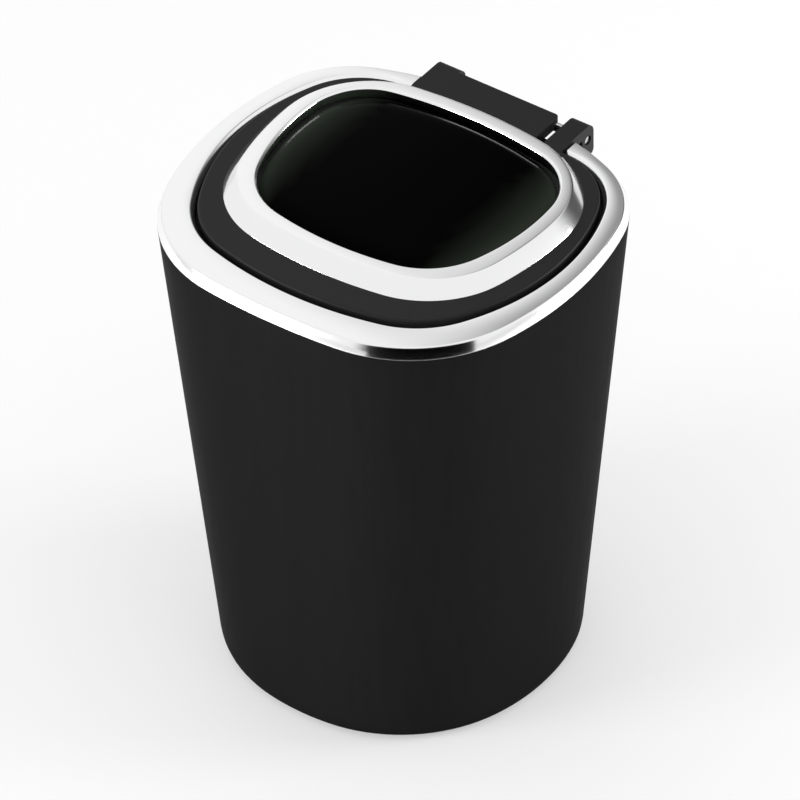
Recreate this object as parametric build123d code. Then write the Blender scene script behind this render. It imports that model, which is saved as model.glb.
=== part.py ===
from build123d import *
from collections import namedtuple
import os

# Car ashtray: a tapered black cup with a chrome rim, a drawn steel liner and a
# hinged lid. The lid carries a chrome frame, a black window over a solar cell,
# and a small light that shines into the cup.
# Millimetres. Z is up, +Y is the hinge side, and the origin is the middle of
# the foot. Every plan outline is a rounded square whose four sides bow outwards:
# half_width, front and back are how far it reaches, widest_y is where it is
# widest, and the sides, the front, the back and the corners have their own radii.

Outline = namedtuple(
    "Outline",
    "half_width front back widest_y side_radius front_radius back_radius front_corner back_corner",
)

# Overall form
rim_height = 100.5
foot_lift = 0.5
foot_half_width = 33.3
foot_front = 32.4
foot_back = 32.9
foot_side_radius = 41.0
foot_front_radius = 50.0
foot_back_radius = 42.0
foot_front_corner = 30.0
foot_back_corner = 28.0
foot_chamfer = 2.0
shoulder_half_width = 40.3
shoulder_front = 36.9
shoulder_back = 37.3
shoulder_side_radius = 65.6
shoulder_front_radius = 139.4
shoulder_back_radius = 72.2
shoulder_front_corner = 27.4
shoulder_back_corner = 20.5
widest_y = 1.4

# Outer shell
shell_wall = 2.0
shell_lower_wall = 3.2
shell_floor = 2.6

# Anti-slip pad under the foot
pad_margin = 3.0
pad_thickness = 1.3
pad_clearance = 0.3
pad_chamfer = 0.2

# Chrome rim: a flat top between two bevels
rim_bevel_height = 2.3
rim_bevel_side = 0.8
rim_bevel_front = 0.9
rim_bevel_back = 1.4
mouth_side_step = 3.2
mouth_front_step = 5.2
mouth_back_step = 4.0
mouth_widest_step = 1.9
mouth_side_radius = 45.1
mouth_front_radius = 72.9
mouth_back_radius = 154.0
mouth_front_corner = 19.5
mouth_back_corner = 17.1
rim_inner_bevel_width = 0.8
rim_inner_bevel_height = 0.85

# Collar inside the top of the shell
fit_gap = 0.15
collar_depth = 10.5
collar_outer_wall = 1.8
collar_inner_wall = 1.5
ledge_thickness = 2.0
ledge_width = 3.4

# Steel liner
liner_wall = 0.6
liner_gap = 0.5
liner_stand = 2.9
liner_foot_inset = 3.2
liner_step_width = 1.5
liner_foot_fillet = 4.0
liner_flange_width = 1.9
liner_flange_thickness = 0.8

# Cigarette rest that drops onto the liner's step
rest_gap = 0.3
rest_headroom = 1.7
rest_thickness = 1.4
rest_hole_radius = 13.0
rest_crown_wall = 2.2
rest_crown_height = 5.0
rest_tube_drop = 8.0
rest_tube_wall = 1.3
rest_notch_width = 8.6
rest_notch_depth = 3.6
rest_notch_count = 3

# Lid plate
lid_gap = 0.5
lid_rise = 0.5
lid_thickness = 2.2
lid_edge_fillet = 0.5

# Chrome frame on the lid
frame_side_step = 3.1
frame_front_step = 6.1
frame_back_step = 0.2
frame_widest_y = 8.4
frame_side_radius = 64.3
frame_front_radius = 82.5
frame_back_radius = 95.0
frame_front_corner = 19.3
frame_back_corner = 20.5
crest_side_step = 2.4
crest_front_step = 3.1
crest_back_step = 2.2
window_side_step = 3.0
window_front_step = 2.7
window_back_step = 2.7
window_side_radius = 44.8
window_front_radius = 66.4
window_back_radius = 88.0
window_front_corner = 14.8
window_back_corner = 12.8
frame_height = 2.7
frame_inner_drop = 0.35

# Window
window_gap = 0.35
window_centre_thickness = 2.7
window_crown_radius = 300.0
window_edge_fillet = 1.2

# Solar cell under the window
cell_gap = 1.0
cell_thickness = 0.8

# Lid inner cover, a tray screwed under the plate
cover_inset = 4.6
cover_flange_thickness = 1.2
tray_depth = 6.0
tray_wall = 1.5
tray_floor = 1.2
tray_seat_width = 2.0
tray_fillet = 1.0
post_radius = 1.5
post_inset_x = 6.0
post_inset_y = 5.0

# Light board and what it carries
board_gap = 0.6
board_thickness = 1.0
coin_radius = 10.0
coin_thickness = 3.2
coin_chamfer = 0.4
coin_gap = 3.5
led_radius = 1.5
led_rim_radius = 1.9
led_rim_thickness = 0.7
led_length = 2.2
diffuser_radius = 4.9
diffuser_rim_radius = 6.2
diffuser_rim_thickness = 0.6
diffuser_bulge = 0.7
diffuser_edge_gap = 2.9
switch_radius = 1.5
switch_length = 8.0
switch_gap = 0.3
contact_radius = 0.6
contact_step = 2.0

# Cover screws
screw_radius = 0.8
screw_gap = 0.05
screw_grip = 2.0
screw_head_radius = 1.6
screw_head_height = 1.2
screw_head_chamfer = 0.4
screw_slot_length = 2.4
screw_slot_width = 0.4
screw_slot_depth = 0.6
screw_tip_gap = 0.2
screw_spacing_y = 16.0
screw_edge = 0.4

# Lid seal
seal_inset = 1.0
seal_width = 2.0
seal_height = 0.8
seal_gap = 0.2

# Hinge
pin_outset = 0.9
pin_drop = 1.0
pin_radius = 0.9
pin_recess = 0.3
pin_chamfer = 0.2
pin_press_gap = 0.02
pin_running_gap = 0.06
notch_half_width = 17.3
hinge_side_gap = 0.5
tail_width = 27.5
tail_thickness = 1.2
tail_corner_fillet = 0.9
arm_gap = 2.1
arm_reach = 1.8
arm_drop = 3.7
arm_top_radius = 2.0
arm_bottom_radius = 1.0
left_arm_width = 5.0
swing_gap = 0.25
lug_radius = 1.7
lug_width = 4.0
lug_gap = 0.35
right_lug_inset = 6.0
barrel_gap = 0.25
spring_seat_reach = 1.2

# Hinge spring
spring_wire_radius = 0.35
spring_coil_gap = 0.15
spring_turns = 4.5
spring_pitch = 1.5
spring_leg = 3.8

cut_margin = 5.0


def inset(outline, distance):
    """The parallel outline, a distance further in (further out if negative)."""
    moved = [size - distance for size in outline]
    return Outline(*moved)._replace(widest_y=outline.widest_y)


def stepped_in(outline, sides, front, back, **changes):
    """An outline whose sides, front and back are each moved in by their own step."""
    return outline._replace(
        half_width=outline.half_width - sides,
        front=outline.front - front,
        back=outline.back - back,
        **changes,
    )


# Levels and places that follow from the sizes above
shoulder_height = rim_height - rim_bevel_height
collar_seat_height = rim_height - collar_depth
lid_top = rim_height + lid_rise
lid_bottom = lid_top - lid_thickness
ledge_height = lid_bottom - seal_height - seal_gap - liner_flange_thickness
tray_bottom = lid_bottom - tray_depth
tray_floor_top = tray_bottom + tray_floor
board_bottom = tray_floor_top + coin_thickness
board_top = board_bottom + board_thickness
liner_floor_height = foot_lift + shell_floor + liner_stand
liner_step_height = tray_bottom - diffuser_bulge - rest_headroom - rest_crown_height - rest_thickness

# Outlines of the body
foot_outline = Outline(
    foot_half_width, foot_front, foot_back, widest_y, foot_side_radius,
    foot_front_radius, foot_back_radius, foot_front_corner, foot_back_corner,
)
shoulder_outline = Outline(
    shoulder_half_width, shoulder_front, shoulder_back, widest_y, shoulder_side_radius,
    shoulder_front_radius, shoulder_back_radius, shoulder_front_corner, shoulder_back_corner,
)
rim_outline = stepped_in(
    inset(shoulder_outline, rim_bevel_side),
    0, rim_bevel_front - rim_bevel_side, rim_bevel_back - rim_bevel_side,
)
mouth_outline = stepped_in(
    rim_outline, mouth_side_step, mouth_front_step, mouth_back_step,
    widest_y=widest_y + mouth_widest_step,
    side_radius=mouth_side_radius,
    front_radius=mouth_front_radius,
    back_radius=mouth_back_radius,
    front_corner=mouth_front_corner,
    back_corner=mouth_back_corner,
)
opening_outline = inset(mouth_outline, rim_inner_bevel_width)
throat_outline = inset(opening_outline, ledge_width)
liner_outline = inset(throat_outline, liner_gap)
liner_foot_outline = inset(foot_outline, shell_lower_wall + liner_foot_inset)
mouth_middle_y = (mouth_outline.back - mouth_outline.front) / 2
pad_radius = min(foot_half_width, foot_front, foot_back) - foot_chamfer - pad_margin

# Outlines of the lid
plate_outline = inset(opening_outline, lid_gap)
frame_foot_outline = stepped_in(
    plate_outline, frame_side_step, frame_front_step, frame_back_step,
    widest_y=frame_widest_y,
    side_radius=frame_side_radius,
    front_radius=frame_front_radius,
    back_radius=frame_back_radius,
    front_corner=frame_front_corner,
    back_corner=frame_back_corner,
)
frame_crest_outline = stepped_in(
    frame_foot_outline, crest_side_step, crest_front_step, crest_back_step,
    front_corner=frame_front_corner - crest_side_step,
    back_corner=frame_back_corner - crest_side_step,
)
frame_window_outline = stepped_in(
    frame_crest_outline, window_side_step, window_front_step, window_back_step,
    side_radius=window_side_radius,
    front_radius=window_front_radius,
    back_radius=window_back_radius,
    front_corner=window_front_corner,
    back_corner=window_back_corner,
)
window_outline = inset(frame_window_outline, window_gap)
tray_outline = inset(window_outline, tray_seat_width)
cavity_outline = inset(tray_outline, tray_wall)
board_outline = inset(cavity_outline, board_gap)
window_y = (window_outline.back - window_outline.front) / 2
window_half_depth = (window_outline.back + window_outline.front) / 2

# Places inside the lid
led_x = cavity_outline.half_width - diffuser_edge_gap - diffuser_rim_radius
switch_x = led_x - diffuser_rim_radius - switch_gap - switch_radius
coin_x = switch_x - switch_radius - coin_gap - coin_radius
post_x = cavity_outline.half_width - post_inset_x
post_y = window_half_depth - tray_seat_width - tray_wall - post_inset_y
contact_x = post_x - contact_step
contact_y = window_y + post_y - contact_step
crest_middle_y = (frame_crest_outline.back - frame_crest_outline.front) / 2
screw_x = frame_window_outline.half_width + screw_radius + screw_edge
screw_places = [
    (side * screw_x, crest_middle_y + end * screw_spacing_y / 2)
    for side in (-1, 1)
    for end in (-1, 1)
]

# Places of the hinge
pin_y = shoulder_back + pin_outset
pin_z = lid_bottom - pin_drop
spring_coil_radius = pin_radius + spring_coil_gap + spring_wire_radius
tail_left = hinge_side_gap - notch_half_width
tail_right = tail_left + tail_width
arm_left = tail_right + arm_gap
arm_right = notch_half_width - hinge_side_gap
arm_back = pin_y + arm_reach
arm_bottom = pin_z - arm_drop
swing_radius = (arm_reach**2 + arm_drop**2) ** 0.5
notch_front = pin_y - swing_radius - swing_gap
notch_floor = pin_z - swing_radius - swing_gap
left_lug = (tail_left + left_arm_width + lug_gap, tail_left + left_arm_width + lug_gap + lug_width)
right_lug = (tail_right - right_lug_inset - lug_width, tail_right - right_lug_inset)
spring_start = (left_lug[1] + right_lug[0]) / 2 - spring_turns * spring_pitch / 2


def quarter(half_width, reach, widest, side_radius, end_radius, corner_radius):
    """The joins and the middle of the corner arc in one quarter of an outline."""
    side_centre = Vector(half_width - side_radius, widest)
    end_centre = Vector(0, reach - end_radius)
    link = end_centre - side_centre
    from_side = side_radius - corner_radius
    from_end = end_radius - corner_radius
    along = (from_side**2 - from_end**2 + link.length**2) / (2 * link.length)
    aside = (from_side**2 - along**2) ** 0.5
    step = link.normalized()
    corner = side_centre + step * along + Vector(-step.Y, step.X) * aside
    side_join = side_centre + (corner - side_centre).normalized() * side_radius
    end_join = end_centre + (corner - end_centre).normalized() * end_radius
    outwards = ((side_join + end_join) / 2 - corner).normalized()
    return side_join, corner + outwards * corner_radius, end_join


def rounded_square(outline, height):
    """A flat face: side, front and back arcs joined by four tangent corner arcs."""
    back_side, back_middle, back_end = quarter(
        outline.half_width, outline.back, outline.widest_y,
        outline.side_radius, outline.back_radius, outline.back_corner,
    )
    front_side, front_middle, front_end = quarter(
        outline.half_width, outline.front, -outline.widest_y,
        outline.side_radius, outline.front_radius, outline.front_corner,
    )

    def at_back(point, side=1):
        return (side * point.X, point.Y, height)

    def at_front(point, side=1):
        return (side * point.X, -point.Y, height)

    widest = outline.half_width
    edges = [
        ThreePointArc(at_front(front_side), (widest, outline.widest_y, height), at_back(back_side)),
        ThreePointArc(at_back(back_side), at_back(back_middle), at_back(back_end)),
        ThreePointArc(at_back(back_end), (0, outline.back, height), at_back(back_end, -1)),
        ThreePointArc(at_back(back_end, -1), at_back(back_middle, -1), at_back(back_side, -1)),
        ThreePointArc(at_back(back_side, -1), (-widest, outline.widest_y, height), at_front(front_side, -1)),
        ThreePointArc(at_front(front_side, -1), at_front(front_middle, -1), at_front(front_end, -1)),
        ThreePointArc(at_front(front_end, -1), (0, -outline.front, height), at_front(front_end)),
        ThreePointArc(at_front(front_end), at_front(front_middle), at_front(front_side)),
    ]
    return make_face(Wire(edges))


def prism(outline, low, high):
    """A straight block of an outline between two heights."""
    return extrude(rounded_square(outline, low), high - low, dir=(0, 0, 1))


def taper(lower, low, upper, high):
    """A block whose outline changes evenly from one height to another."""
    return loft([rounded_square(lower, low), rounded_square(upper, high)], ruled=True)


def slab(left, right, front, back, low, high):
    """A plain block given by its six faces."""
    centre = ((left + right) / 2, (front + back) / 2, (low + high) / 2)
    return Pos(*centre) * Box(right - left, back - front, high - low)


def cut_between(solid, low, high):
    """The part of a solid between two heights."""
    reach = 2 * shoulder_half_width
    return solid & slab(-reach, reach, -reach, reach, low, high)


def disc(x, y, low, high, radius):
    """An upright cylinder between two heights."""
    return Pos(x, y, (low + high) / 2) * Cylinder(radius, high - low)


def across_x(y, z, left, right, radius):
    """A cylinder that lies along X."""
    return Pos((left + right) / 2, y, z) * Rot(0, 90, 0) * Cylinder(radius, right - left)


def side_profile(points, left, right):
    """A closed profile of (y, z) points, drawn square to X and as thick as the gap."""
    corners = [(left, y, z) for y, z in points]
    return extrude(make_face(Polyline(*corners, close=True)), right - left, dir=(1, 0, 0))


def foot_edges(solid):
    """The edges that lie in the lowest face."""
    return solid.edges().group_by(Axis.Z)[0]


def shell_form(depth_in, low, high):
    """The shell's taper, a distance inside its outer surface, between two heights."""
    whole = taper(
        inset(foot_outline, depth_in), foot_lift,
        inset(shoulder_outline, depth_in), shoulder_height,
    )
    return cut_between(whole, low, high)


def liner_form(depth_in, low, high):
    """The liner's taper, a distance inside its outer surface, between two heights."""
    whole = taper(
        inset(liner_foot_outline, depth_in), liner_floor_height,
        inset(liner_outline, depth_in), ledge_height,
    )
    return cut_between(whole, low, high)


def hinge_notch(front, low):
    """The gap at the back that the hinge works in, from a height upwards."""
    back = shoulder_back + 2 * cut_margin
    return slab(-notch_half_width, notch_half_width, front, back, low, rim_height + cut_margin)


def make_outer_shell():
    """Moulded cup with a thicker lower wall, whose top edge is the collar's seat."""
    body = shell_form(0, foot_lift, shoulder_height)
    body = chamfer(foot_edges(body), foot_chamfer)
    floor_top = foot_lift + shell_floor
    body -= shell_form(shell_lower_wall, floor_top, collar_seat_height)
    body -= shell_form(shell_wall, collar_seat_height, shoulder_height)
    body -= disc(0, 0, 0, pad_thickness, pad_radius + pad_clearance)
    return body - hinge_notch(notch_front, notch_floor)


def make_base_pad():
    """Round rubber pad let into the foot."""
    pad = disc(0, 0, 0, pad_thickness, pad_radius)
    return chamfer(foot_edges(pad), pad_chamfer)


def make_rim_ring():
    """Plated ring, open at the back, with a bevel down each side of its flat top."""
    ring = taper(shoulder_outline, shoulder_height, rim_outline, rim_height)
    bevel_bottom = rim_height - rim_inner_bevel_height
    ring -= taper(opening_outline, bevel_bottom, mouth_outline, rim_height)
    ring -= prism(opening_outline, shoulder_height - cut_margin, rim_height + cut_margin)
    return ring - hinge_notch(0, 0)


def lug_profile(left, right):
    """One hinge lug: a round eye on a neck that grows out of the collar."""
    neck_top = lid_bottom - barrel_gap
    neck_front = notch_front - collar_inner_wall / 2
    neck = slab(left, right, neck_front, pin_y, ledge_height - ledge_thickness, neck_top)
    return neck + across_x(pin_y, pin_z, left, right, lug_radius)


def make_collar():
    """Moulded ring that holds the rim, the liner's seat and the hinge lugs."""
    body = shell_form(shell_wall + fit_gap, collar_seat_height, shoulder_height)
    body -= prism(opening_outline, ledge_height, shoulder_height + cut_margin)
    body -= prism(throat_outline, 0, rim_height)
    hollow = shell_form(
        shell_wall + fit_gap + collar_outer_wall, collar_seat_height, ledge_height - ledge_thickness
    )
    hollow -= prism(inset(throat_outline, -collar_inner_wall), 0, rim_height)
    body -= hollow
    body -= hinge_notch(notch_front, notch_floor)
    for left, right in (left_lug, right_lug):
        body += lug_profile(left, right)
    body += slab(
        (left_lug[1] + right_lug[0]) / 2, right_lug[0],
        notch_front - collar_inner_wall / 2, notch_front + spring_seat_reach,
        ledge_height - ledge_thickness, pin_z - spring_coil_radius - spring_wire_radius,
    )
    reach = shoulder_half_width
    return body - across_x(pin_y, pin_z, -reach, reach, pin_radius + pin_press_gap)


def make_liner():
    """Drawn steel cup with a flange at the top and a step that carries the rest."""
    upper = liner_form(0, liner_step_height - liner_wall, ledge_height)
    lower = liner_form(liner_step_width, liner_floor_height, liner_step_height - liner_wall)
    lower = fillet(foot_edges(lower), liner_foot_fillet)
    cup = upper + lower
    flange = inset(liner_outline, -liner_flange_width)
    cup += prism(flange, ledge_height, ledge_height + liner_flange_thickness)
    cup -= liner_form(liner_wall, liner_step_height, ledge_height)
    cup -= prism(inset(liner_outline, liner_wall), ledge_height, ledge_height + cut_margin)
    hollow = liner_form(
        liner_step_width + liner_wall, liner_floor_height + liner_wall, liner_step_height
    )
    hollow = fillet(foot_edges(hollow), liner_foot_fillet - liner_wall)
    return cup - hollow


def make_rest_plate():
    """Plate with a drop tube and a notched crown that cigarettes lie across."""
    low = liner_step_height
    high = low + rest_thickness
    crown_top = high + rest_crown_height
    plate = liner_form(liner_wall + rest_gap, low, high)
    plate += disc(0, mouth_middle_y, low, crown_top, rest_hole_radius + rest_crown_wall)
    plate += disc(0, mouth_middle_y, low - rest_tube_drop, high, rest_hole_radius + rest_tube_wall)
    plate -= disc(0, mouth_middle_y, low - 2 * rest_tube_drop, 2 * crown_top, rest_hole_radius)
    half_notch = rest_notch_width / 2
    reach = rest_hole_radius + 2 * rest_crown_wall
    for index in range(rest_notch_count):
        turn = 90 + 360 * index / rest_notch_count
        trough = slab(0, reach, -half_notch, half_notch, crown_top - rest_notch_depth, 2 * crown_top)
        plate -= Pos(0, mouth_middle_y, 0) * Rot(0, 0, turn) * trough
    return plate


def make_tail(root):
    """The plate's tongue over the spring, thin where it covers the barrel."""
    back = arm_back - arm_top_radius
    barrel_front = pin_y - lug_radius - barrel_gap
    thin_bottom = lid_top - tail_thickness
    corners = [
        (root, lid_bottom), (root, lid_top), (back, lid_top),
        (back, thin_bottom), (barrel_front, thin_bottom), (barrel_front, lid_bottom),
    ]
    tail = side_profile(corners, tail_left, tail_right)
    ends = tail.edges().filter_by(Axis.Z).group_by(Axis.Y)[-1]
    return fillet(ends, tail_corner_fillet)


def make_arm(root, left, right):
    """An arm that wraps the pin: rounded over the top and down its straight back."""
    front = pin_y - arm_reach
    arm = slab(left, right, root, arm_back, lid_bottom, lid_top)
    arm += slab(left, right, front, arm_back, arm_bottom, lid_top)
    back_edges = arm.edges().filter_by(Axis.X).group_by(Axis.Y)[-1].sort_by(Axis.Z)
    arm = fillet(back_edges[-1], arm_top_radius)
    low_edges = arm.edges().filter_by(Axis.X).group_by(Axis.Z)[0]
    return fillet(low_edges, arm_bottom_radius)


def make_lid_base():
    """Lid plate with the hinge tail over the spring and two arms around the pin."""
    plate = prism(plate_outline, lid_bottom, lid_top)
    plate = fillet(plate.edges().group_by(Axis.Z)[-1], lid_edge_fillet)
    root = plate_outline.back - cut_margin
    left_arm = make_arm(root, tail_left, tail_left + left_arm_width)
    right_arm = make_arm(root, arm_left, arm_right)
    lid = plate + make_tail(root) + left_arm + right_arm
    lid -= prism(cavity_outline, lid_bottom - cut_margin, lid_top + cut_margin)
    leg_room = spring_wire_radius + barrel_gap
    leg_x = spring_start + spring_turns * spring_pitch
    lid -= slab(
        leg_x - leg_room, leg_x + leg_room,
        pin_y - spring_leg - leg_room, pin_y - lug_radius,
        lid_bottom - leg_room, pin_z + spring_coil_radius + leg_room,
    )
    for x, y in screw_places:
        lid -= disc(x, y, lid_bottom - cut_margin, lid_top + cut_margin, screw_radius + screw_gap)
    reach = shoulder_half_width
    return lid - across_x(pin_y, pin_z, -reach, reach, pin_radius + pin_running_gap)


def make_lid_ring():
    """Plated frame: a sloping shoulder up to a flat crest around the window."""
    crest_height = lid_top + frame_height
    ring = taper(frame_foot_outline, lid_top, frame_crest_outline, crest_height)
    inner_edge = inset(frame_window_outline, -frame_inner_drop)
    inner_height = crest_height - frame_inner_drop
    ring -= taper(frame_window_outline, inner_height, inner_edge, crest_height)
    ring -= prism(frame_window_outline, lid_top - cut_margin, crest_height + cut_margin)
    for x, y in screw_places:
        ring -= disc(x, y, lid_top - cut_margin, lid_top + screw_grip, screw_radius + screw_gap)
    return ring


def make_window_lens():
    """Black cushion: a rounded square with a low crown."""
    lens = prism(window_outline, lid_top, lid_top + window_centre_thickness)
    crown_centre = lid_top + window_centre_thickness - window_crown_radius
    lens &= Pos(0, window_y, crown_centre) * Sphere(window_crown_radius)
    crown = lens.faces().sort_by(Axis.Z)[-1]
    return fillet(crown.edges(), window_edge_fillet)


def make_solar_cell():
    """Thin cell bonded to the underside of the window."""
    return prism(inset(cavity_outline, cell_gap), lid_top - cell_thickness, lid_top)


def make_solar_contacts():
    """Two pins that join the solar cell to the light board."""
    pin_top = lid_top - cell_thickness
    pins = [disc(side * contact_x, contact_y, board_top, pin_top, contact_radius) for side in (-1, 1)]
    return Compound(pins)


def make_light_board():
    """Circuit board on the tray's four posts."""
    return prism(board_outline, board_bottom, board_top)


def make_coin_cell():
    """Rechargeable coin cell between the tray's floor and the board."""
    cell = disc(coin_x, window_y, tray_floor_top, board_bottom, coin_radius)
    return chamfer(foot_edges(cell), coin_chamfer)


def make_light_led():
    """Small domed lamp under the board."""
    rim = disc(led_x, window_y, board_bottom - led_rim_thickness, board_bottom, led_rim_radius)
    shaft_bottom = board_bottom - led_length + led_radius
    shaft = disc(led_x, window_y, shaft_bottom, board_bottom, led_radius)
    dome = Pos(led_x, window_y, shaft_bottom) * Sphere(led_radius)
    return rim + shaft + cut_between(dome, tray_bottom, board_bottom)


def make_tilt_switch():
    """Can with a loose ball inside that turns the light on as the lid tips."""
    height = board_bottom - switch_radius
    return Pos(switch_x, window_y, height) * Rot(90, 0, 0) * Cylinder(switch_radius, switch_length)


def make_light_diffuser():
    """Pearl window that plugs the hole in the tray's floor."""
    rim_top = tray_floor_top + diffuser_rim_thickness
    plug = disc(led_x, window_y, tray_bottom, tray_floor_top, diffuser_radius)
    plug += disc(led_x, window_y, tray_floor_top, rim_top, diffuser_rim_radius)
    bulge_radius = (diffuser_radius**2 + diffuser_bulge**2) / (2 * diffuser_bulge)
    ball = Pos(led_x, window_y, tray_bottom - diffuser_bulge + bulge_radius) * Sphere(bulge_radius)
    bulge = disc(led_x, window_y, tray_bottom - 2 * diffuser_bulge, tray_bottom, diffuser_radius)
    return plug + (ball & bulge)


def make_lid_inner_cover():
    """Tray under the lid with a flange, four posts and a hole for the light."""
    flange_bottom = lid_bottom - cover_flange_thickness
    cover = prism(inset(plate_outline, cover_inset), flange_bottom, lid_bottom)
    tray = prism(tray_outline, tray_bottom, lid_bottom)
    cover += fillet(foot_edges(tray), tray_fillet)
    cover -= prism(cavity_outline, tray_floor_top, lid_bottom + cut_margin)
    for x in (-post_x, post_x):
        for y in (window_y - post_y, window_y + post_y):
            cover += disc(x, y, tray_floor_top, board_bottom, post_radius)
    for x, y in screw_places:
        hole_bottom = flange_bottom - screw_head_height
        cover -= disc(x, y, hole_bottom, lid_bottom + cut_margin, screw_radius + screw_gap)
    hole_radius = diffuser_radius + fit_gap
    return cover - disc(led_x, window_y, tray_bottom - tray_floor, tray_floor_top, hole_radius)


def make_cover_screws():
    """Four pan-head screws that clamp cover, plate and frame together."""
    head_top = lid_bottom - cover_flange_thickness
    head_bottom = head_top - screw_head_height
    slot_top = head_bottom + screw_slot_depth
    tip = lid_top + screw_grip - screw_tip_gap
    long, short = screw_slot_length / 2, screw_slot_width / 2
    screws = []
    for x, y in screw_places:
        head = disc(x, y, head_bottom, head_top, screw_head_radius)
        head = chamfer(foot_edges(head), screw_head_chamfer)
        slot = slab(x - long, x + long, y - short, y + short, 0, slot_top)
        cross = slab(x - short, x + short, y - long, y + long, 0, slot_top)
        screws.append(head + disc(x, y, head_top, tip, screw_radius) - slot - cross)
    return Compound(screws)


def make_lid_seal():
    """Flat rubber ring bonded under the edge of the lid."""
    outer = inset(plate_outline, seal_inset)
    ring = prism(outer, lid_bottom - seal_height, lid_bottom)
    return ring - prism(inset(outer, seal_width), 0, rim_height + cut_margin)


def make_hinge_pin():
    """Steel pin through the arms and lugs."""
    pin = across_x(pin_y, pin_z, tail_left + pin_recess, arm_right - pin_recess, pin_radius)
    return chamfer(pin.edges().filter_by(GeomType.CIRCLE), pin_chamfer)


def make_hinge_spring():
    """Torsion spring: one leg on the collar's seat, the other in the lid's slot."""
    length = spring_turns * spring_pitch
    helix = Helix(spring_pitch, length, spring_coil_radius)
    path = Pos(spring_start, pin_y, pin_z) * Rot(0, 90, 0) * helix
    section = Plane(origin=path @ 0, z_dir=path % 0) * Circle(spring_wire_radius)
    spring = sweep(section, path=path, is_frenet=True)
    for end in (path @ 0, path @ 1):
        leg = Cylinder(spring_wire_radius, spring_leg)
        spring += Pos(end.X, end.Y - spring_leg / 2, end.Z) * Rot(90, 0, 0) * leg
        spring += Pos(*end) * Sphere(spring_wire_radius)
    return spring


makers = {
    "outer_shell": make_outer_shell,
    "base_pad": make_base_pad,
    "rim_ring": make_rim_ring,
    "collar": make_collar,
    "liner": make_liner,
    "rest_plate": make_rest_plate,
    "lid_base": make_lid_base,
    "lid_ring": make_lid_ring,
    "window_lens": make_window_lens,
    "solar_cell": make_solar_cell,
    "solar_contacts": make_solar_contacts,
    "light_board": make_light_board,
    "coin_cell": make_coin_cell,
    "light_led": make_light_led,
    "tilt_switch": make_tilt_switch,
    "light_diffuser": make_light_diffuser,
    "lid_inner_cover": make_lid_inner_cover,
    "cover_screws": make_cover_screws,
    "lid_seal": make_lid_seal,
    "hinge_pin": make_hinge_pin,
    "hinge_spring": make_hinge_spring,
}

os.makedirs("parts", exist_ok=True)
for name, maker in makers.items():
    export_step(maker(), f"parts/{name}.step")
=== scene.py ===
# %% [markdown]
# # A car ashtray with a hinged lid
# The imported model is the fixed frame: every piece below sits where the frame says.
# We look at it the way the photograph does, dress one piece after another, and light
# it like a small product studio.

# %% Load the frame
import bmesh
import bpy
import math
import numpy as np
from collections import namedtuple
from mathutils import Matrix, Vector


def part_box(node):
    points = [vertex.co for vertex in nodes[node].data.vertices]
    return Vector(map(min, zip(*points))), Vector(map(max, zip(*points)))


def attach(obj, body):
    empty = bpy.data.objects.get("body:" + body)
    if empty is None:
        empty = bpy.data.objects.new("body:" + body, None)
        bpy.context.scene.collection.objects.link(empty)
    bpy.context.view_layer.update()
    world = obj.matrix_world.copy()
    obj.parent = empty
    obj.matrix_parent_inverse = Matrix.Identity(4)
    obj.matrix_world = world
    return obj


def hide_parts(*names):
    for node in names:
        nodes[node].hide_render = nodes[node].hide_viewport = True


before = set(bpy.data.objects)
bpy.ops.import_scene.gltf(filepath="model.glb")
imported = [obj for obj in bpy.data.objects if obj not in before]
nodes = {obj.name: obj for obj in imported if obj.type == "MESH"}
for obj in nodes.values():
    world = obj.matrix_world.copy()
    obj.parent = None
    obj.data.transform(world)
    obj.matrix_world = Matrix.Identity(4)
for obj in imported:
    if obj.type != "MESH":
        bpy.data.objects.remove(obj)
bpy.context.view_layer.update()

# %% [markdown]
# ## The camera
# The photograph was taken from far away with a long lens, so verticals hardly
# converge. Its place was fitted to the outlines of the rim and the lid. We build
# the rotation from three axes: right, up and back. A camera looks along minus back.

# %% Camera
AZIMUTH = math.radians(36.639)
ELEVATION = math.radians(40.088)
ROLL = math.radians(-1.291)
EYE = Vector((0.63092, -0.84662, 0.94321))
PHOTO_SIZE = 800
FOCAL_PIXELS = 7519.4
SENSOR = 36.0


def camera_axes():
    """Right, up and back: back points to the eye, right is level, and up is square to both.

    The roll then turns right and up about back.
    """
    back = Vector((
        math.sin(AZIMUTH) * math.cos(ELEVATION),
        -math.cos(AZIMUTH) * math.cos(ELEVATION),
        math.sin(ELEVATION),
    ))
    level = Vector((math.cos(AZIMUTH), math.sin(AZIMUTH), 0.0))
    upright = back.cross(level)
    right = math.cos(ROLL) * level + math.sin(ROLL) * upright
    return right, back.cross(right), back


right, up, back = camera_axes()
camera = bpy.data.objects.new("camera", bpy.data.cameras.new("camera"))
camera.data.sensor_width = SENSOR
camera.data.lens = FOCAL_PIXELS / PHOTO_SIZE * SENSOR
camera.data.clip_start = 0.05
camera.data.clip_end = 20
camera.matrix_world = Matrix.LocRotScale(EYE, Matrix((right, up, back)).transposed(), None)
bpy.context.collection.objects.link(camera)
scene = bpy.context.scene
scene.camera = camera
scene.view_settings.view_transform = "Standard"
print("camera:", round(camera.data.lens), "mm lens at", [round(v, 3) for v in EYE])

# %% [markdown]
# ## Finishes
# Small helpers keep each material short: one starts a material with its shader,
# and the others add nodes. Patterns read Object coordinates, which are metres here,
# so a pattern keeps its real size on every piece.

# %% Start a material


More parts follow.
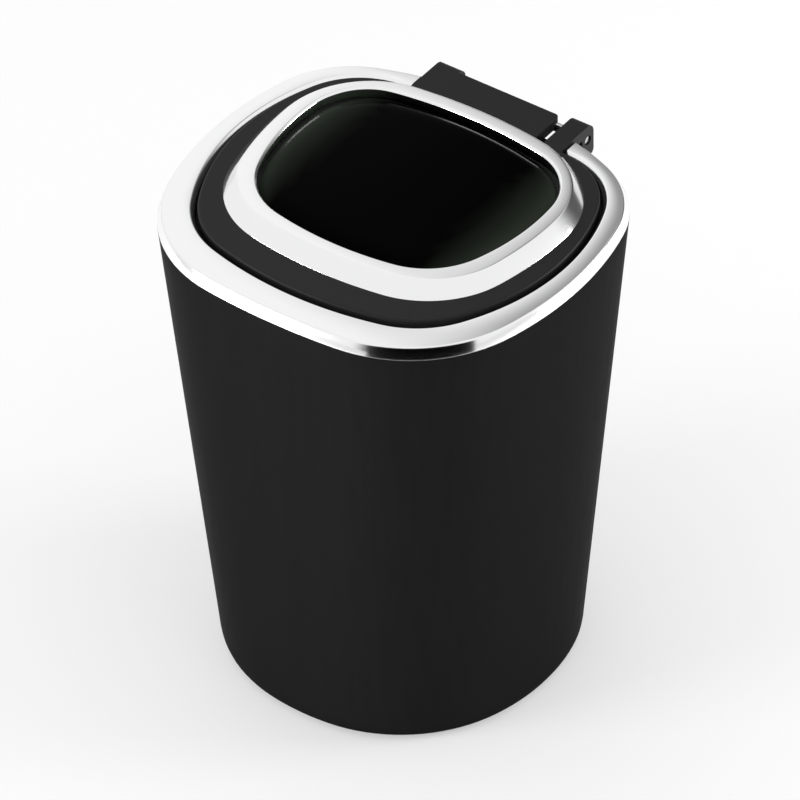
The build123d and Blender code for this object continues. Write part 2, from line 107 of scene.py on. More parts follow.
def new_material(name, color, rough, metal=0.0):
    """A material with a Principled shader; returns it with its node tree and shader."""
    material = bpy.data.materials.new(name)
    material.use_nodes = True
    tree = material.node_tree
    shader = tree.nodes["Principled BSDF"]
    shader.inputs["Base Color"].default_value = (*color, 1)
    shader.inputs["Roughness"].default_value = rough
    shader.inputs["Metallic"].default_value = metal
    return material, tree, shader


# %% Pattern helpers


def noise(tree, scale, detail=4.0, stretch=(1, 1, 1)):
    """A noise pattern on Object coordinates; returns its Fac socket."""
    place = tree.nodes.new("ShaderNodeTexCoord")
    mapping = tree.nodes.new("ShaderNodeMapping")
    mapping.inputs["Scale"].default_value = stretch
    texture = tree.nodes.new("ShaderNodeTexNoise")
    texture.inputs["Scale"].default_value = scale
    texture.inputs["Detail"].default_value = detail
    tree.links.new(place.outputs["Object"], mapping.inputs["Vector"])
    tree.links.new(mapping.outputs["Vector"], texture.inputs["Vector"])
    return texture.outputs["Fac"]


def spread(tree, value, low, high, start=0.0, stop=1.0, smooth=False):
    """Maps a value from one range onto another: start becomes low and stop becomes high."""
    ramp = tree.nodes.new("ShaderNodeMapRange")
    ramp.interpolation_type = "SMOOTHSTEP" if smooth else "LINEAR"
    ramp.inputs["From Min"].default_value = start
    ramp.inputs["From Max"].default_value = stop
    ramp.inputs["To Min"].default_value = low
    ramp.inputs["To Max"].default_value = high
    tree.links.new(value, ramp.inputs["Value"])
    return ramp.outputs["Result"]


def product(tree, first, second):
    """The product of a socket and another socket or a number."""
    multiply = tree.nodes.new("ShaderNodeMath")
    multiply.operation = "MULTIPLY"
    tree.links.new(first, multiply.inputs[0])
    if isinstance(second, float):
        multiply.inputs[1].default_value = second
    else:
        tree.links.new(second, multiply.inputs[1])
    return multiply.outputs["Value"]


def tint(tree, fac, dark, light):
    """Mixes two colours by a pattern."""
    mix = tree.nodes.new("ShaderNodeMix")
    mix.data_type = "RGBA"
    mix.inputs["A"].default_value = (*dark, 1)
    mix.inputs["B"].default_value = (*light, 1)
    tree.links.new(fac, mix.inputs["Factor"])
    return mix.outputs["Result"]


def relief(tree, shader, fac, distance, strength):
    """Adds a bump of a pattern, its depth in metres."""
    bump = tree.nodes.new("ShaderNodeBump")
    bump.inputs["Distance"].default_value = distance
    bump.inputs["Strength"].default_value = strength
    tree.links.new(fac, bump.inputs["Height"])
    tree.links.new(bump.outputs["Normal"], shader.inputs["Normal"])


print("helpers: new_material, noise, spread, product, tint, relief")

# %% [markdown]
# ### Grained plastic and rubber
# Most mouldings come from a spark-eroded mould, which leaves a fine grain. A picture
# of grain could be wrapped round each piece, but it would stretch at the corners.
# Noise in space has no seams: fine noise gives the relief, and slow noise lets the
# colour and the gloss drift a little, as they do on every moulding.

# %% Grained plastic
GRAIN = 2600.0
GRAIN_STRENGTH = 0.35


def moulded(name, dark, light, rough, gloss=0.5, grain=GRAIN, depth=0.00002):
    """Moulded plastic: a fine spark-eroded grain, and a slow drift in colour and roughness."""
    material, tree, shader = new_material(name, light, rough)
    shader.inputs["Specular IOR Level"].default_value = gloss
    fine = noise(tree, grain, 2.0)
    slow = noise(tree, 60.0, 3.0)
    tree.links.new(tint(tree, slow, dark, light), shader.inputs["Base Color"])
    tree.links.new(spread(tree, slow, rough - 0.04, rough + 0.05), shader.inputs["Roughness"])
    relief(tree, shader, fine, depth, GRAIN_STRENGTH)
    return material


inner_black = moulded("inner_black", (0.004, 0.004, 0.004), (0.006, 0.006, 0.006), 0.5, 0.2)
lid_grey = moulded("lid_grey", (0.012, 0.012, 0.0122), (0.017, 0.017, 0.0172), 0.5, 0.16)
heat_black = moulded("heat_black", (0.018, 0.017, 0.016), (0.03, 0.028, 0.026), 0.55)
cover_grey = moulded("cover_grey", (0.05, 0.05, 0.052), (0.065, 0.065, 0.067), 0.4)
pad_rubber = moulded("pad_rubber", (0.012, 0.012, 0.012), (0.02, 0.02, 0.02), 0.75, 0.3, 900.0, 0.00006)
seal_rubber = moulded("seal_rubber", (0.008, 0.008, 0.008), (0.012, 0.012, 0.012), 0.6, 0.3)
board_green = moulded("board_green", (0.01, 0.08, 0.03), (0.02, 0.13, 0.05), 0.35)
cell_blue = moulded("cell_blue", (0.004, 0.006, 0.03), (0.008, 0.012, 0.05), 0.2)
led_clear = moulded("led_clear", (0.8, 0.8, 0.7), (0.9, 0.9, 0.85), 0.15)
pearl_white = moulded("pearl_white", (0.72, 0.73, 0.76), (0.82, 0.83, 0.85), 0.35)
print("grained:", inner_black.name, lid_grey.name, heat_black.name, cover_grey.name, "and six more")

# %% [markdown]
# ### The cup's black plastic
# The cup's mould was polished up and down, which leaves faint upright streaks. An
# anisotropic shader could smear the light, but the streaks themselves would be lost.
# So the noise is squeezed flat in Z. The cup also darkens towards its sides, so Layer
# Weight's Facing takes the colour down there as a painted shade.

# %% Streaked plastic
STREAK_SCALE = 700.0
STREAK_SQUEEZE = (1, 1, 0.02)
# Where the painted shade at the silhouette starts and where it is full, in Facing.
SILHOUETTE_SHADE_START = 0.35
SILHOUETTE_SHADE_STOP = 0.95


def streaked(name, dark, light, rough, gloss):
    """Plastic from a mould polished along Z: upright streaks, and a painted shade that darkens the colour
    at the silhouette.
    """
    material, tree, shader = new_material(name, light, rough)
    shader.inputs["Specular IOR Level"].default_value = gloss
    streaks = noise(tree, STREAK_SCALE, 3.0, STREAK_SQUEEZE)
    weight = tree.nodes.new("ShaderNodeLayerWeight")
    # Painted shade: Facing takes the colour down towards the silhouette.
    painted_shade_fade = spread(tree, weight.outputs["Facing"], 1.0, 0.0, SILHOUETTE_SHADE_START, SILHOUETTE_SHADE_STOP)
    share = product(tree, painted_shade_fade, spread(tree, streaks, 0.7, 1.0))
    tree.links.new(tint(tree, share, dark, light), shader.inputs["Base Color"])
    tree.links.new(spread(tree, streaks, rough - 0.06, rough + 0.06), shader.inputs["Roughness"])
    relief(tree, shader, noise(tree, GRAIN, 2.0), 0.00001, 0.3)
    return material


# The dark colour is also the colour of the painted shade at the silhouette.
soft_black = streaked("soft_black", (0.001, 0.001, 0.001), (0.014, 0.014, 0.0142), 0.5, 0.015)
print("streaked:", soft_black.name)

# %% [markdown]
# ### Plating and drawn metal
# The rim and the lid frame are plastic with a bright metal skin, so they are metal
# with a low roughness that wanders a little: a perfect mirror would look drawn by a
# machine. The liner was drawn through a die, which leaves long lines. Noise that is
# stretched along one axis gives those lines, to colour, roughness and relief alike.

# %% Metals
ACROSS_Z = (60, 60, 1)
ACROSS_X = (1, 60, 60)


def plated(name, color, rough):
    """Bright plating over plastic: nearly a mirror, with a trace of haze."""
    material, tree, shader = new_material(name, color, rough, 1.0)
    slow = noise(tree, 45.0, 3.0)
    tree.links.new(spread(tree, slow, rough * 0.7, rough * 1.4), shader.inputs["Roughness"])
    return material


def drawn_metal(name, color, rough, stretch=ACROSS_Z):
    """Drawn metal: long fine lines, in colour, roughness and relief."""
    material, tree, shader = new_material(name, color, rough, 1.0)
    lines = noise(tree, 120.0, 6.0, stretch)
    dark = tuple(0.82 * c for c in color)
    tree.links.new(tint(tree, lines, dark, color), shader.inputs["Base Color"])
    tree.links.new(spread(tree, lines, rough - 0.08, rough + 0.1), shader.inputs["Roughness"])
    relief(tree, shader, lines, 0.00001, 0.5)
    return material


chrome_trim = plated("chrome_trim", (0.93, 0.93, 0.935), 0.12)
drawn_steel = drawn_metal("drawn_steel", (0.62, 0.62, 0.61), 0.3)
pin_steel = drawn_metal("pin_steel", (0.72, 0.72, 0.72), 0.2, ACROSS_X)
spring_steel = drawn_metal("spring_steel", (0.5, 0.5, 0.51), 0.28, ACROSS_X)
screw_steel = drawn_metal("screw_steel", (0.6, 0.6, 0.6), 0.25)
cell_steel = drawn_metal("cell_steel", (0.7, 0.7, 0.7), 0.25)
contact_brass = drawn_metal("contact_brass", (0.78, 0.57, 0.25), 0.25)
print("metals:", chrome_trim.name, drawn_steel.name, pin_steel.name, spring_steel.name, contact_brass.name)

# %% [markdown]
# ### Window black
# The window is black right through, with a greenish light painted into its left and
# right corners. A lamp could be hidden under it, but it would light the frame as well.
# The mesh carries a value named glow instead, high in those two corners, and the
# material mixes its black and its painted green glow by that value.

# %% Window finish
WINDOW_BLACK = (0.0004, 0.0005, 0.0004)
# The colour of the painted glow in the window's corners.
PAINTED_GLOW_GREEN = (0.034, 0.043, 0.032)


def dark_window(name):
    """Near black with hardly any shine, and a painted green glow where the mesh's own glow value is high.
    """
    material, tree, shader = new_material(name, WINDOW_BLACK, 0.1)
    shader.inputs["Specular IOR Level"].default_value = 0.01
    glow = tree.nodes.new("ShaderNodeAttribute")
    glow.attribute_name = "glow"
    # Slow noise breaks up the painted glow a little.
    patchy = spread(tree, noise(tree, 90.0, 2.0), 0.7, 1.0)
    share = product(tree, glow.outputs["Fac"], patchy)
    tree.links.new(tint(tree, share, WINDOW_BLACK, PAINTED_GLOW_GREEN), shader.inputs["Base Color"])
    return material


window_black = dark_window("window_black")
print("window:", window_black.name)

# %% [markdown]
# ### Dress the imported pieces
# Fifteen pieces keep the mesh that the frame gives them, and the other six are rebuilt
# below. All of them get a material here, so that nothing is ever left bare.

# %% Finish of each piece
finishes = {
    "outer_shell": soft_black, "base_pad": pad_rubber, "rim_ring": chrome_trim, "collar": inner_black,
    "liner": drawn_steel, "rest_plate": heat_black, "hinge_pin": pin_steel, "hinge_spring": spring_steel,
    "lid_base": lid_grey, "lid_ring": chrome_trim, "window_lens": window_black, "solar_cell": cell_blue,
    "solar_contacts": contact_brass, "light_board": board_green, "coin_cell": cell_steel,
    "light_led": led_clear, "tilt_switch": cell_steel, "light_diffuser": pearl_white,
    "lid_inner_cover": cover_grey, "cover_screws": screw_steel, "lid_seal": seal_rubber,
}
for name, finish in finishes.items():
    mesh = nodes[name].data
    mesh.materials.clear()
    mesh.materials.append(finish)
print("finishes:", len(finishes))

# %% [markdown]
# ## One outline for everything
# Every moulding here is a rounded square whose four sides bow outwards. Its outline
# is eight arcs that meet without a kink. Sizes are in millimetres, as on a drawing,
# and each outline steps in from the one outside it.

# %% Outlines
MM = 0.001
FOOT_LIFT = 0.5
SHOULDER_HEIGHT = 98.2
RIM_HEIGHT = 100.5
LID_TOP = 101.0
NOTCH_HALF = 17.3

Outline = namedtuple(
    "Outline",
    "half_width front back widest side_bow front_bow back_bow front_corner back_corner",
)


def inset(shape, distance):
    """The parallel outline: each reach and each radius loses the same distance."""
    return Outline(*(size - distance for size in shape))._replace(widest=shape.widest)


def stepped(shape, sides, front, back, **changes):
    """An outline whose sides, front and back each move in by their own step."""
    return shape._replace(
        half_width=shape.half_width - sides,
        front=shape.front - front,
        back=shape.back - back,
        **changes,
    )


FOOT = Outline(33.3, 32.4, 32.9, 1.4, 41.0, 50.0, 42.0, 30.0, 28.0)
SHOULDER = Outline(40.3, 36.9, 37.3, 1.4, 65.6, 139.4, 72.2, 27.4, 20.5)
RIM = stepped(inset(SHOULDER, 0.8), 0, 0.1, 0.6)
MOUTH = stepped(
    RIM, 3.2, 5.2, 4.0, widest=3.3, side_bow=45.1, front_bow=72.9, back_bow=154.0,
    front_corner=19.5, back_corner=17.1,
)
OPENING = inset(MOUTH, 0.8)
PLATE = inset(OPENING, 0.5)
FRAME_FOOT = stepped(
    PLATE, 3.1, 6.1, 0.2, widest=8.4, side_bow=64.3, front_bow=82.5, back_bow=95.0,
    front_corner=19.3, back_corner=20.5,
)
CREST = stepped(FRAME_FOOT, 2.4, 3.1, 2.2, front_corner=16.9, back_corner=18.1)
WINDOW = stepped(
    CREST, 3.0, 2.7, 2.7, side_bow=44.8, front_bow=66.4, back_bow=88.0,
    front_corner=14.8, back_corner=12.8,
)
print("outlines: foot", FOOT.half_width, "shoulder", SHOULDER.half_width, "window", WINDOW.half_width)

# %% [markdown]
# ### Points on an outline
# A curve object could draw the arcs, but we want the same number of points on every
# outline, each facing its neighbour on the next one. Two arcs that meet without a
# kink have their centres on one line with the joint. That gives the corner's centre
# by crossing two circles, and then every point is plain sine and cosine. A point also
# falls on the edge of the hinge gap, so that the gap can be cut along the grid.

# %% Arcs of an outline
NOTCH_POINTS = 10
LEAST_TURN = 0.01
BACK_POINTS, BACK_CORNER_POINTS, SIDE_POINTS, FRONT_CORNER_POINTS, FRONT_POINTS = 10, 16, 22, 18, 16


def corner_centre(half_width, reach, widest, side_bow, end_bow, corner):
    """Where two circles cross: each is centred on a bow, with that bow's radius less the corner's own."""
    side_centre = np.array([half_width - side_bow, widest])
    link = np.array([0.0, reach - end_bow]) - side_centre
    length = np.hypot(*link)
    from_side, from_end = side_bow - corner, end_bow - corner
    along = (from_side**2 - from_end**2 + length**2) / (2 * length)
    aside = math.sqrt(from_side**2 - along**2)
    step = link / length
    return side_centre + step * along + np.array([-step[1], step[0]]) * aside


def angle_of(point, centre):
    """The direction from a centre to a point."""
    return math.atan2(point[1] - centre[1], point[0] - centre[0])


def arc(centre, radius, start, stop, count):
    """Evenly turned points on a circle, without the last one."""
    turn = np.linspace(start, stop, count, endpoint=False)
    return np.asarray(centre) + radius * np.column_stack([np.cos(turn), np.sin(turn)])


def notch_half(shape):
    """Half the width of the hinge gap's columns, which narrow with the outer wall towards the foot."""
    if shape == FOOT:
        return NOTCH_HALF * shape.half_width / SHOULDER.half_width
    return NOTCH_HALF


def loop(shape):
    """An outline as (x, y) rows, from the middle of the back by the right side to the front, and home.

    Each arc is its centre plus its radius times cosine and sine of the evenly divided
    angle. The left side is the right side with x turned round.
    """
    back_centre = (0.0, shape.back - shape.back_bow)
    front_centre = (0.0, shape.front_bow - shape.front)
    side_centre = (shape.half_width - shape.side_bow, shape.widest)
    back_corner = corner_centre(
        shape.half_width, shape.back, shape.widest, shape.side_bow, shape.back_bow, shape.back_corner
    )
    front_corner = corner_centre(
        shape.half_width, shape.front, -shape.widest, shape.side_bow, shape.front_bow, shape.front_corner
    ) * (1, -1)
    back_join = angle_of(back_corner, back_centre)
    notch = max(math.acos(notch_half(shape) / shape.back_bow), back_join + LEAST_TURN)
    side_in = angle_of(back_corner, side_centre)
    side_out = angle_of(front_corner, side_centre)
    front_join = angle_of(front_corner, front_centre)
    half = np.vstack([
        arc(back_centre, shape.back_bow, math.pi / 2, notch, NOTCH_POINTS),
        arc(back_centre, shape.back_bow, notch, back_join, BACK_POINTS),
        arc(back_corner, shape.back_corner, back_join, side_in, BACK_CORNER_POINTS),
        arc(side_centre, shape.side_bow, side_in, side_out, SIDE_POINTS),
        arc(front_corner, shape.front_corner, side_out, front_join, FRONT_CORNER_POINTS),
        arc(front_centre, shape.front_bow, front_join, -math.pi / 2, FRONT_POINTS),
        [(0.0, -shape.front)],
    ])
    return np.vstack([half, half[-2:0:-1] * (-1, 1)])


STATIONS = len(loop(SHOULDER))
print("outline:", STATIONS, "points")
print("shoulder:", loop(SHOULDER).min(0).round(1), "to", loop(SHOULDER).max(0).round(1))

# %% [markdown]
# ## From rows to a surface
# A surface is a grid: rows are outlines at their heights, stacked from one edge of
# the profile to the other, and columns follow the outline. Real edges are never
# knife sharp, so a helper rounds the profile at each row before the faces are made.

# %% Rows
TINY = 1e-9
MOST_OF_SIDE = 0.45


def row(shape, height):
    """An outline lifted to a height, as (x, y, z) rows."""
    flat = loop(shape)
    return np.column_stack([flat, np.full(len(flat), height)])


def between_rows(low, high, height):
    """The straight taper between two rows, read off at a height."""
    share = (height - low[0, 2]) / (high[0, 2] - low[0, 2])
    return low + (high - low) * share


def soften(rows, reach, steps=4, closed=True):
    """Each row becomes a short quadratic curve that leaves for the next row before the corner.

    With A and B the points a reach before and after corner K, the curve is
    (1 - t) squared A + 2 t (1 - t) K + t squared B. No reach takes more than
    MOST_OF_SIDE of the way to its neighbour.
    """
    rows = np.asarray(rows)
    reach = np.asarray(reach)[:, None, None]
    before = np.roll(rows, 1, axis=0) - rows
    after = np.roll(rows, -1, axis=0) - rows
    size_before = np.linalg.norm(before, axis=2, keepdims=True)
    size_after = np.linalg.norm(after, axis=2, keepdims=True)
    reach_before = np.minimum(reach, MOST_OF_SIDE * size_before)
    reach_after = np.minimum(reach, MOST_OF_SIDE * size_after)
    start = rows + before / np.maximum(size_before, TINY) * reach_before
    stop = rows + after / np.maximum(size_after, TINY) * reach_after
    if not closed:
        start[0], stop[0], start[-1], stop[-1] = rows[0], rows[0], rows[-1], rows[-1]
    t = np.linspace(0, 1, steps)[None, :, None, None]
    curve = (1 - t) ** 2 * start[:, None] + 2 * t * (1 - t) * rows[:, None] + t**2 * stop[:, None]
    return curve.reshape(-1, rows.shape[1], 3)


def point_row(y, height):
    """A pole: every column meets in one point."""
    return np.tile([0.0, y, height], (STATIONS, 1))


print("a row:", row(SHOULDER, SHOULDER_HEIGHT).shape)

# %% [markdown]
# ### Faces and the finished piece
# Every cell of the grid is one four-sided face. At a pole a whole row falls together,
# so doubles are merged before the normals are worked out. Blender then sees a closed
# skin and can turn it outwards by itself. The count of open edges has to be zero.

# %% Faces of a grid
MERGE_DISTANCE = 1e-7


def quads(row_count, column_count, closed_rows):
    """Corner numbers of every cell of a grid whose columns close, as an array of fours."""
    i = np.arange(row_count if closed_rows else row_count - 1)[:, None]
    j = np.arange(column_count)[None, :]
    here, above = i * column_count, (i + 1) % row_count * column_count
    beside = (j + 1) % column_count
    return np.stack([here + j, here + beside, above + beside, above + j], axis=-1)


def sheet_faces(row_count, column_count, closed_rows=False):
    """The cells of a grid as a plain list of faces."""
    return quads(row_count, column_count, closed_rows).reshape(-1, 4).tolist()


def make_piece(name, points, faces, material, body, replaced, sharp=35):
    """Makes a piece of points in millimetres and faces, turned outwards, and hides the part it replaces."""
    mesh = bpy.data.meshes.new(name)
    mesh.from_pydata((np.asarray(points).reshape(-1, 3) * MM).tolist(), [], faces)
    work = bmesh.new()
    work.from_mesh(mesh)
    bmesh.ops.remove_doubles(work, verts=work.verts, dist=MERGE_DISTANCE)
    bmesh.ops.recalc_face_normals(work, faces=work.faces)
    open_edges = sum(1 for edge in work.edges if len(edge.link_faces) != 2)
    work.to_mesh(mesh)
    work.free()
    mesh.polygons.foreach_set("use_smooth", np.ones(len(mesh.polygons), dtype=bool))
    mesh.set_sharp_from_angle(angle=math.radians(sharp))
    mesh.materials.append(material)
    piece = bpy.data.objects.new(name, mesh)
    bpy.context.collection.objects.link(piece)
    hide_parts(replaced)
    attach(piece, body)
    print(name, "faces", len(mesh.polygons), "open edges", open_edges)
    return piece


def open_ring_faces(row_count, keep):
    """A closed profile carried along some of the columns only, with a flat face at each end."""
    columns = np.arange(STATIONS)[keep]
    grid = np.arange(row_count)[:, None] * STATIONS + columns[None, :]
    after = np.roll(grid, -1, axis=0)
    cells = np.stack([grid[:, :-1], grid[:, 1:], after[:, 1:], after[:, :-1]], axis=-1)
    return cells.reshape(-1, 4).tolist() + [grid[:, 0].tolist(), grid[::-1, -1].tolist()]


print("faces of a full sheet of 10 rows:", len(sheet_faces(10, STATIONS)))

# %% [markdown]
# ## Outer shell
# The real cup is one moulding: a tapered wall, a rounded foot with a round recess
# for the pad, and a gap at the back for the hinge. Cutting the gap with a Boolean
# would leave long thin faces. Here the grid itself has it: the columns inside the
# gap have no upper wall, and two upright faces close its ends. The wall is a straight
# taper between two outlines, so its height and its place round the outline are the
# two parameters of the surface.

# %% Shell rows
NOTCH_FLOOR = 93.4
COLLAR_SEAT = 90.0
SHELL_WALL = 2.0
LOWER_WALL = 3.2
SHELL_FLOOR = 3.1
PAD_RECESS = 28.2
PAD_DEPTH = 1.3


def taper(depth_in, height):
    """The shell's surface at a depth inside its outside, at a height."""
    low = row(inset(FOOT, depth_in), FOOT_LIFT)
    high = row(inset(SHOULDER, depth_in), SHOULDER_HEIGHT)
    return between_rows(low, high, height)


def circle_row(radius, height):
    """A circle whose points face the outline's points."""
    flat = loop(FOOT)
    flat = flat / np.linalg.norm(flat, axis=1, keepdims=True) * radius
    return np.column_stack([flat, np.full(len(flat), height)])


FOOT_ROLL = 3.0
FOOT_STEPS = 7
EDGE_STEPS = 4
under = [
    point_row(0, PAD_DEPTH),
    circle_row(PAD_RECESS, PAD_DEPTH),
    circle_row(PAD_RECESS, FOOT_LIFT),
]
outer = [taper(0, FOOT_LIFT), taper(0, NOTCH_FLOOR)]
skin = soften([*under, *outer], [0, 0.05, 0.2, FOOT_ROLL, 0], FOOT_STEPS, closed=False)
skin = skin[np.r_[0, FOOT_STEPS:len(skin) - FOOT_STEPS + 1]]
edge_rows = [
    taper(0, NOTCH_FLOOR),
    taper(0, SHOULDER_HEIGHT),
    taper(SHELL_WALL, SHOULDER_HEIGHT),
    taper(SHELL_WALL, NOTCH_FLOOR),
]
top = soften(edge_rows, [0, 0.15, 0.15, 0], EDGE_STEPS, closed=False)[EDGE_STEPS - 1:1 - EDGE_STEPS]
inside = np.array([
    taper(SHELL_WALL, COLLAR_SEAT),
    taper(LOWER_WALL, COLLAR_SEAT),
    taper(LOWER_WALL, SHELL_FLOOR),
    point_row(0, SHELL_FLOOR),
])
rows = np.concatenate([skin[:-1], top, inside])
print("shell rows:", len(skin) - 1, "outside,", len(top), "round the edge,", len(inside), "inside")

# %% Shell faces
sill_row, wall_rows = len(skin) - 1, len(top)
cells = quads(len(rows), STATIONS, closed_rows=False)
in_notch = np.zeros(STATIONS, dtype=bool)
in_notch[:NOTCH_POINTS] = True
in_notch[-NOTCH_POINTS:] = True
kept = np.ones(cells.shape[:2], dtype=bool)
kept[sill_row:sill_row + wall_rows - 1, in_notch] = False
faces = cells[kept].tolist()
low_edge, high_edge = sill_row * STATIONS, (sill_row + wall_rows - 1) * STATIONS
column = np.flatnonzero(in_notch)
beside = (column + 1) % STATIONS
sill = [low_edge + column, low_edge + beside, high_edge + beside, high_edge + column]
faces += np.column_stack(sill).tolist()
for end in (NOTCH_POINTS, STATIONS - NOTCH_POINTS):
    faces.append([(sill_row + k) * STATIONS + end for k in range(wall_rows)])
make_piece("shell_skin", rows, faces, soft_black, "cup", "outer_shell")

# %% [markdown]
# ## Plated rim and lid frame
# Both are mouldings plated with bright metal. A Bevel modifier could round them, but
# it gives every edge the same width. Here a closed profile of five corners is carried
# round the outline, and each corner gets its own rounding, because plating shows
# every edge as a thin line of light. The rim is open at the hinge.

# %% Rim ring
INNER_BEVEL = 0.85
rim_rows = soften(
    [row(SHOULDER, SHOULDER_HEIGHT), row(RIM, RIM_HEIGHT), row(MOUTH, RIM_HEIGHT),
     row(OPENING, RIM_HEIGHT - INNER_BEVEL), row(OPENING, SHOULDER_HEIGHT)],
    [0.1, 0.3, 0.22, 0.12, 0.1],
)
outside_notch = slice(NOTCH_POINTS, STATIONS - NOTCH_POINTS + 1)
rim_faces = open_ring_faces(len(rim_rows), outside_notch)
make_piece("rim_plating", rim_rows, rim_faces, chrome_trim, "cup", "rim_ring")

# %% Lid frame
FRAME_HEIGHT = 2.7
FRAME_DROP = 0.35
crest_height = LID_TOP + FRAME_HEIGHT
frame_rows = soften(
    [row(FRAME_FOOT, LID_TOP), row(CREST, crest_height), row(inset(WINDOW, -FRAME_DROP), crest_height),
     row(WINDOW, crest_height - FRAME_DROP), row(WINDOW, LID_TOP)],
    [0.1, 0.45, 0.15, 0.1, 0.1], 6,
)
frame_faces = sheet_faces(len(frame_rows), STATIONS, closed_rows=True)
make_piece("lid_frame", frame_rows, frame_faces, chrome_trim, "lid", "lid_ring")

# %% [markdown]
# ## Window
# The window is a cushion: nearly flat in the middle, and it rolls down to its edge.
# A subdivided slab would be quick, but its roll would be as wide as its faces. So the
# grid walks in from the edge, first along parallel outlines for the roll, then
# straight to the middle. The height is that of a low crown, a squared distance from
# the middle, less a quarter of an ellipse near the edge.

# %% Window
WINDOW_GAP = 0.35
WINDOW_RISE = 2.7
CROWN_RADIUS = 300.0
ROLL_WIDTH = 4.6
ROLL_DROP = 1.5
ROLL_STEPS = 12
CROWN_STEPS = 8
edge = inset(WINDOW, WINDOW_GAP)
middle_y = (edge.back - edge.front) / 2
steps_in = ROLL_WIDTH * (1 - np.cos(np.linspace(0, math.pi / 2, ROLL_STEPS)))
roll_loops = np.stack([loop(inset(edge, step)) for step in steps_in])
shares = np.linspace(1, 0, CROWN_STEPS)[1:, None, None]
inner_loops = (0, middle_y) + (roll_loops[-1] - (0, middle_y)) * shares
flat = np.concatenate([roll_loops, inner_loops])
distance_in = np.concatenate([steps_in, np.full(len(shares), ROLL_WIDTH)])[:, None]
crown = (flat[..., 0] ** 2 + (flat[..., 1] - middle_y) ** 2) / (2 * CROWN_RADIUS)
roll = ROLL_DROP * (1 - np.sqrt(1 - (1 - distance_in / ROLL_WIDTH) ** 2))
heights = LID_TOP + WINDOW_RISE - crown - roll
cushion = np.concatenate([flat, heights[..., None]], axis=2)
base = [point_row(middle_y, LID_TOP), row(edge, LID_TOP)]
lens_rows = np.concatenate([base, cushion])
lens_faces = sheet_faces(len(lens_rows), STATIONS)
lens = make_piece(
    "window_cushion", lens_rows, lens_faces, window_black, "lid", "window_lens", 60
)

# %% [markdown]
# ### The painted glow of the window's corners
# Each point gets its painted glow: how far the roll has dropped there, times how far out
# it lies to the left or right. Painting it by hand would be as quick, but a formula
# follows the shape when a size changes.

# %% Corner glow
GLOW_START = 0.62
GLOW_WIDTH = 0.3
GLOW_CURVE = 0.7
place = np.empty(3 * len(lens.data.vertices))
lens.data.vertices.foreach_get("co", place)
place = place.reshape(-1, 3) / MM
drop = (LID_TOP + WINDOW_RISE - place[:, 2]) / ROLL_DROP
side = np.abs(place[:, 0]) / edge.half_width
# Painted glow: strongest where the roll has dropped, out at the left and right.
painted_glow_values = np.clip(drop, 0, 1) ** GLOW_CURVE * np.clip((side - GLOW_START) / GLOW_WIDTH, 0, 1)
glow = lens.data.attributes.new("glow", "FLOAT", "POINT")
glow.data.foreach_set("value", painted_glow_values.astype(np.float32))
print("glow: up to", round(float(painted_glow_values.max()), 2))

# %% [markdown]
# ## Steel liner
# A drawn cup has one wall thickness, soft bends where the die turned it, a step
# that carries the rest and a flat flange. Solidify could give the wall, but its flange
# has another thickness. So the profile runs up the outside, over the flange and down
# the inside, and both ends close in a pole at the floor's middle.

# %% Liner
LEDGE = 97.0
LINER_FLOOR = 6.0
LINER_WALL = 0.6
STEP_HEIGHT = 84.0
STEP_WIDTH = 1.5
FLANGE = 1.9
FLANGE_THICKNESS = 0.8
FLOOR_BEND = 4.0
THROAT_STEP = 3.4
LINER_GAP = 0.5
FOOT_GAP = 3.2
LINER = inset(OPENING, THROAT_STEP + LINER_GAP)
LINER_FOOT = inset(FOOT, LOWER_WALL + FOOT_GAP)


def liner_row(depth_in, height):
    """The liner's taper at a depth inside its outside, at a height."""
    low = row(inset(LINER_FOOT, depth_in), LINER_FLOOR)
    high = row(inset(LINER, depth_in), LEDGE)
    return between_rows(low, high, height)


flange = inset(LINER, -FLANGE)
flange_top = LEDGE + FLANGE_THICKNESS
under_step = STEP_HEIGHT - LINER_WALL
inner = STEP_WIDTH + LINER_WALL
profile = [
    point_row(0, LINER_FLOOR),
    liner_row(STEP_WIDTH, LINER_FLOOR),
    liner_row(STEP_WIDTH, under_step),
    liner_row(0, under_step),
    row(LINER, LEDGE),
    row(flange, LEDGE),
    row(flange, flange_top),
    row(inset(LINER, LINER_WALL), flange_top),
    liner_row(LINER_WALL, STEP_HEIGHT),
    liner_row(inner, STEP_HEIGHT),
    liner_row(inner, LINER_FLOOR + LINER_WALL),
    point_row(0, LINER_FLOOR + LINER_WALL),
]
bends = [0, FLOOR_BEND, 0.3, 0.3, 0.25, 0.1, 0.1, 0.4, 0.4, 0.4, FLOOR_BEND - LINER_WALL, 0]
liner_rows = soften(profile, bends, 5, closed=False)
liner_faces = sheet_faces(len(liner_rows), STATIONS)
make_piece("liner_cup", liner_rows, liner_faces, drawn_steel, "cup", "liner")

# %% [markdown]
# ## Hinge spring
# A torsion spring is one wire: a leg, a few turns round the pin, and a second leg.
# A curve with a round bevel could make it. Carrying a small circle along the line
# ourselves shows what such a bevel does. The circle needs no twisting, because the
# direction away from the pin and the line's own direction are known at every point.
# The turns are a helix: a circle round the pin whose X grows evenly with its angle.

